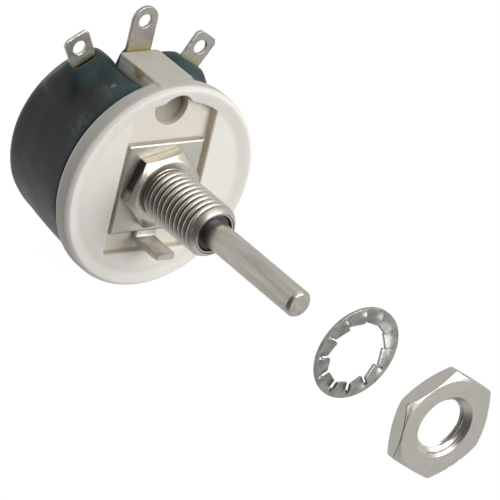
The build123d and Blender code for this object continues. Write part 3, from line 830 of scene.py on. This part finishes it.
# Collector: the slip ring and its rivets are plain brass, and a plated washer spreads the
# load of the staked spigot. All lie flat on the base's rear face, inside the winding.
rubbed_radius = 4.5
slip_ring_face = 4.05
brass = (0.60, 0.44, 0.20)
brass_pale = (0.50, 0.36, 0.16)
brass_brown = (0.33, 0.22, 0.10)
brass_rubbed = (0.80, 0.66, 0.40)
material, place, shader = finish("plain_brass", brass, 0.32, 1.0)
tarnish_and_reflection = grain(place, 1.1, 4.0, 0.6)
_, y, _, out = axes(place)
rubbed = out.step(rubbed_radius - 0.3, rubbed_radius - 0.15)
rubbed = rubbed * y.step(slip_ring_face, slip_ring_face + 0.04)
rubbed = rubbed * (1 - out.step(rubbed_radius + 0.15, rubbed_radius + 0.3))
tint = tarnish_and_reflection.blend(brass_pale, brass_brown)
feed(shader, "Base Color", (rubbed * 0.8).blend(tint, brass_rubbed))
feed(shader, "Roughness", 0.42 - rubbed * 0.2)
relief(shader, tarnish_and_reflection, 0.02)
dress(material, "slip_ring", "slip_ring_rivets", "brush_rivet", "arm_rivets")
dress(stamped, "base_washer")


# Shaft: centreless-ground rod with a chamfered end, left bare. Fine rings from grinding run
# round it and pale streaks along it, and two grooves take the retaining rings.
rod = 1.5875
rod_reach = 25.4
rod_rear = 16.96
rod_chamfer = 0.34
tail_chamfer = 0.15
groove_radius = 1.2875
groove_width = 0.54
front_groove = -8.94
rear_groove = 15.86
pole = 0.001
rod_steel = (0.62, 0.59, 0.535)
rod_pale = (0.69, 0.66, 0.60)
rod_dark = (0.52, 0.49, 0.43)
outline = [(pole, -rod_reach), (rod - rod_chamfer, -rod_reach), (rod, -rod_reach + rod_chamfer)]
for groove in (front_groove, rear_groove):
    outline += [(rod, groove), (groove_radius, groove)]
    outline += [(groove_radius, groove + groove_width), (rod, groove + groove_width)]
outline += [(rod, rod_rear - tail_chamfer), (rod - tail_chamfer, rod_rear), (pole, rod_rear)]
loops = [circle(radius, level) for radius, level in rounded(outline, 0.05, steps=3)]
material, place, shader = finish("ground_rod", rod_steel, 0.28, 1.0)
x, y, z, _ = axes(place)
rings = grain(place.node("ShaderNodeCombineXYZ", {}, {0: y * 3.0}), 1.6, 3.0, 0.7)
drawn_out = place.node("ShaderNodeCombineXYZ", {}, {0: x * 1.6, 1: y * 0.09, 2: z * 1.6})
streaks = grain(drawn_out, 1.0, 3.0, 0.6)
feed(shader, "Base Color", streaks.step(0.3, 0.72).blend(rod_pale, rod_dark))
feed(shader, "Roughness", 0.24 + streaks * 0.14)
relief(shader, rings + grain(place, 1.0, 2.0) * 0.5, 0.004)
piece("shaft_rod", [skin(loops)], material, "rotor", "shaft_metal", "shaft")


# Retaining rings: blackened spring wire rings, split so that they snap into the shaft's
# grooves. The front one is the dark ring seen inside the bushing's mouth.
ring_inner = 1.34
ring_round = 0.2
half_gap = 35.0
black_steel = (0.10, 0.10, 0.105)
material, place, shader = finish("blackened_spring_steel", black_steel, 0.36, 0.9)
feed(shader, "Roughness", 0.3 + grain(place, 3.0, 3.0) * 0.25)
relief(shader, grain(place, 5.0, 2.0), 0.01)
for name, ring_front, ring_rear, ring_outer, ring_mouth in (
    ("front_retaining_ring", -9.2, -8.42, 2.17, 130.0),
    ("rear_retaining_ring", 15.88, 16.38, 2.15, 180.0),
):
    corners = [(ring_inner, ring_front), (ring_outer, ring_front)]
    corners += [(ring_outer, ring_rear), (ring_inner, ring_rear)]
    section = rounded(corners, ring_round, closed=True, steps=5)
    loops = []
    for a in np.linspace(radians(ring_mouth + half_gap), radians(ring_mouth + 360 - half_gap), 61):
        loops.append([(r * sin(a), level, r * cos(a)) for r, level in section])
    piece(name + "_wire", [skin(loops)], material, "rotor", "spring_steel", name)


# Thrust washer, wave spring and hub pin: plain spring steel. The spring's three waves press
# the hub back, so that the shaft has no end play.
spring_level = 5.065
spring_inner = 1.69
spring_outer = 2.5
spring_waves = 3
wave_height = 0.09
spring_edge = ((spring_inner, 0.06), (spring_inner + 0.06, 0.085))
spring_edge += ((spring_outer - 0.06, 0.085), (spring_outer, 0.06))
spring_steel = (0.44, 0.43, 0.41)
material, place, shader = finish("plain_spring_steel", spring_steel, 0.34, 1.0)
feed(shader, "Roughness", 0.26 + grain(place, 3.0, 3.0) * 0.22)
relief(shader, grain(place, 5.0, 2.0), 0.01)
dress(material, "thrust_washer", "hub_pin")
middle = spring_level + wave_height * np.cos(spring_waves * angles)
loops = [circle(radius, middle - half) for radius, half in spring_edge]
loops += [circle(radius, middle + half) for radius, half in reversed(spring_edge)]
pressed = skin(loops, ring=True)
piece("wave_spring_ring", [pressed], material, "rotor", "spring_steel", "wave_spring")


# Hub: brown phenolic moulding pinned to the shaft. It insulates the arm, and the lug on its
# side meets the ceramic stop at both ends of the travel.
phenolic = (0.055, 0.032, 0.022)
phenolic_dark = (0.045, 0.026, 0.018)
phenolic_pale = (0.085, 0.050, 0.034)
material, place, shader = finish("brown_phenolic", phenolic, 0.38)
flow = grain(place, 0.9, 4.0, 0.6)
feed(shader, "Base Color", flow.blend(phenolic_dark, phenolic_pale))
feed(shader, "Roughness", 0.3 + flow * 0.25)
relief(shader, grain(place, 5.0, 2.0), 0.015)
moulded = softened("hub", voxel=0.07, passes=3)
piece("moulded_hub", [moulded], material, "rotor", "moulded_insulator", "hub", crease=50)


# Contact arm, feed spring and brush: the arm and spring are stamped from spring bronze and
# riveted to the hub, and the brush is pressed metal-graphite riveted under the arm's end.
bronze_colour = (0.62, 0.42, 0.23)
bronze_bright = (0.66, 0.45, 0.25)
bronze_brown = (0.44, 0.29, 0.16)
graphite_colour = (0.050, 0.048, 0.046)
graphite_black = (0.040, 0.038, 0.036)
graphite_copper = (0.13, 0.10, 0.08)
bronze, place, shader = finish("spring_bronze", bronze_colour, 0.27, 1.0)
patina = grain(place, 1.0, 4.0, 0.6)
feed(shader, "Base Color", patina.blend(bronze_bright, bronze_brown))
feed(shader, "Roughness", 0.22 + patina * 0.2)
relief(shader, grain(place, 4.0, 2.0), 0.012)
graphite, place, shader = finish("metal_graphite", graphite_colour, 0.5, 0.3)
flecks = grain(place, 6.0, 2.0).step(0.5, 0.8)
feed(shader, "Base Color", flecks.blend(graphite_black, graphite_copper))
relief(shader, grain(place, 6.0, 3.0), 0.02)
for name, node, voxel, passes, material, slot in (
    ("contact_arm_leaf", "contact_arm", 0.055, 2, bronze, "spring_bronze"),
    ("feed_spring_leaf", "feed_spring", 0.05, 1, bronze, "spring_bronze"),
    ("graphite_brush", "contact_brush", 0.04, 3, graphite, "brush_graphite"),
):
    piece(name, [softened(node, voxel, passes)], material, "rotor", slot, node, crease=50)


# Lock washer: stamped from thin spring steel, with internal teeth parted by narrow slits.
# Each tooth is twisted, so that its two corners bite into nut and panel.
washer_level = -35.6
washer_rim = 5.35
washer_root = 4.5
washer_bore = 3.55
washer_thick = 0.34
washer_edge = 0.05
teeth = 12
columns = 14
half_slit = 1.1
twist_lift = -0.25
corner_lag = 0.1
washer_steel = (0.50, 0.49, 0.465)
washer_pale = (0.46, 0.45, 0.425)
washer_dark = (0.33, 0.32, 0.30)
rows = [washer_rim, 5.2, 5.0, 4.8, 4.65, washer_root, 4.3, 4.15, 4.0, 3.85, 3.7, washer_bore]
tooth_pitch = 360 / teeth
vertices = []
faces = []
for radius in rows:
    pull = np.clip((washer_rim - 0.1 - radius) / 1.0, 0, 1)
    pull = pull * pull * (3 - 2 * pull)
    lag = corner_lag * np.clip((washer_root - radius) / 1.0, 0, 1)
    for tooth in range(teeth):
        for share in np.linspace(0, 1, columns):
            angle = radians(tooth_pitch * tooth + half_slit + (tooth_pitch - 2 * half_slit) * share)
            level = washer_level + twist_lift * pull * (2 * share - 1)
            reach = radius + lag * abs(2 * share - 1) ** 3
            vertices.append((reach * sin(angle) * MM, level * MM, reach * cos(angle) * MM))
row_length = teeth * columns
for row, inner in enumerate(rows[1:]):
    start = row * row_length
    below = start + row_length
    for k in range(row_length):
        m = (k + 1) % row_length
        in_slit = m % columns == 0 and inner < washer_root
        if not in_slit:
            faces.append((start + k, start + m, below + m, below + k))
stamping = bpy.data.meshes.new("stamping")
stamping.from_pydata(vertices, [], faces)
blank = placed("stamping", stamping)
thick = blank.modifiers.new("thick", "SOLIDIFY")
thick.thickness = washer_thick * MM
thick.offset = 0
eased = blank.modifiers.new("eased", "BEVEL")
eased.width = washer_edge * MM
eased.segments = 2
eased.limit_method = "ANGLE"
eased.angle_limit = radians(50)
material, place, shader = finish("tumbled_steel", washer_steel, 0.26, 1.0)
haze = grain(place, 1.1, 3.0, 0.6)
feed(shader, "Base Color", haze.step(0.38, 0.66).blend(washer_pale, washer_dark))
feed(shader, "Roughness", 0.26 + haze * 0.16)
relief(shader, haze + grain(place, 7.0, 2.0) * 0.15, 0.012)
piece("toothed_washer", [applied(blank)], material, "washer", "stainless", "lock_washer", crease=40)


# Mounting nut: thin hexagon turned from bar, faced on both sides so that circles of the tool
# show, chamfered and nickel-plated. Screwed home, its thread fits the bushing's.
nut_level = -50.2
nut_thick = 1.9
nut_flats = 5.55
nut_face = 5.47
nut_turn = 30.0
nut_slope = 0.5
nut_bore = 3.235
bore_mouth = nut_bore + 0.3
mouth_slope = 1.1
screwed_home = 48.4
faced_colour = (0.64, 0.62, 0.565)
front = nut_level - nut_thick / 2
rear = nut_level + nut_thick / 2
loops = hexagon_loops(nut_flats, nut_turn, nut_face, nut_slope, front, rear)
loops.append(circle(bore_mouth, rear))
for level in np.arange(rear - 0.04, front + 0.04, -thread_pitch / 14):
    countersunk = bore_mouth - mouth_slope * min(level - front, rear - level)
    cut = nut_bore - thread_cut(level + screwed_home)
    loops.append(circle(np.maximum(cut, countersunk), level))
loops.append(circle(bore_mouth, front))


def facing_circles(place):
    """Circles that the facing tool leaves round a bore."""
    _, y, _, out = axes(place)
    across = place.node("ShaderNodeCombineXYZ", {}, {0: out * 2.2, 1: y})
    return grain(across, 1.6, 3.0, 0.7) * 2.2 + grain(place, 1.2, 2.0) * 0.4


material = plated("faced_nickel", faced_colour, 0.30, facing_circles, wear=0.35, depth=0.016)
turned = skin(loops, ring=True)
piece("hexagon_nut", [turned], material, "nut", "nut_plate", "mounting_nut", crease=24)


# Studio: a plain pale floor that lights nothing, a soft sky that is darker on the camera's
# side, two large lamps, and the camera where the photograph was taken from.
ground_level = -12.34
floor_reach = 3000.0
floor_grey = (0.03, 0.03, 0.03)
paper_white = 0.99
sky_level = 0.62
sky_drop = 0.53
dark_side = (-0.74, -0.66, -0.05)
lit_place = (0, -15, 0)
lens = 360.0
camera_place = (-318.6207, -374.3081, 232.4226)
camera_right = (0.79514, -0.56596, 0.21782)
camera_up = (0.09888, 0.47537, 0.87421)
camera_back = (-0.59831, -0.67358, 0.43395)
floor_mesh = bpy.data.meshes.new("studio_floor")
corners = []
for u, v in ((-1, -1), (1, -1), (1, 1), (-1, 1)):
    corners.append((u * floor_reach * MM, v * floor_reach * MM, ground_level * MM))
floor_mesh.from_pydata(corners, [], [(0, 1, 2, 3)])
material, place, shader = finish("white_paper", floor_grey, 0.9, Specular_IOR_Level=0.1)
shader.inputs["Emission Color"].default_value = (1.0, 1.0, 1.0, 1)
shader.inputs["Emission Strength"].default_value = paper_white
floor_mesh.materials.append(material)
floor = placed("studio_floor", floor_mesh)
floor.visible_diffuse = False
floor.visible_glossy = False
floor.visible_shadow = False

world = bpy.data.worlds.new("studio")
world.use_nodes = True
sky = Value(world.node_tree)
seen = sky.node("ShaderNodeLightPath", out="Is Camera Ray")
toward = {"operation": "DOT_PRODUCT"}
where = sky.node("ShaderNodeTexCoord", out="Generated")
shade = sky.node("ShaderNodeVectorMath", toward, {0: where, 1: dark_side}, out="Value")
level = sky_level - shade.step(0.3, 0.92) * sky_drop
level = level + seen * (paper_white - level)
world.node_tree.links.new(level.socket, world.node_tree.nodes["Background"].inputs["Color"])
bpy.context.scene.world = world
for name, stand, size, power in (
    ("overhead", (60, 40, 600), 380, 0.2),
    ("front_right", (210, -635, 230), 500, 3.9),
):
    lamp = bpy.data.lights.new(name, "AREA")
    lamp.shape = "SQUARE"
    lamp.size = size * MM
    lamp.energy = power
    holder = placed(name, lamp)
    holder.location = Vector(stand) * MM
    holder.rotation_euler = (Vector(lit_place) - Vector(stand)).to_track_quat("-Z", "Y").to_euler()

camera = bpy.data.cameras.new("camera")
camera.sensor_width = 36.0
camera.lens = lens
camera.clip_start = 0.01
camera.clip_end = 20.0
eye = placed("camera", camera)
rows = zip(camera_right, camera_up, camera_back, [c * MM for c in camera_place])
eye.matrix_world = Matrix([*rows, (0, 0, 0, 1)])
bpy.context.scene.camera = eye
bpy.context.scene.view_settings.view_transform = "Standard"
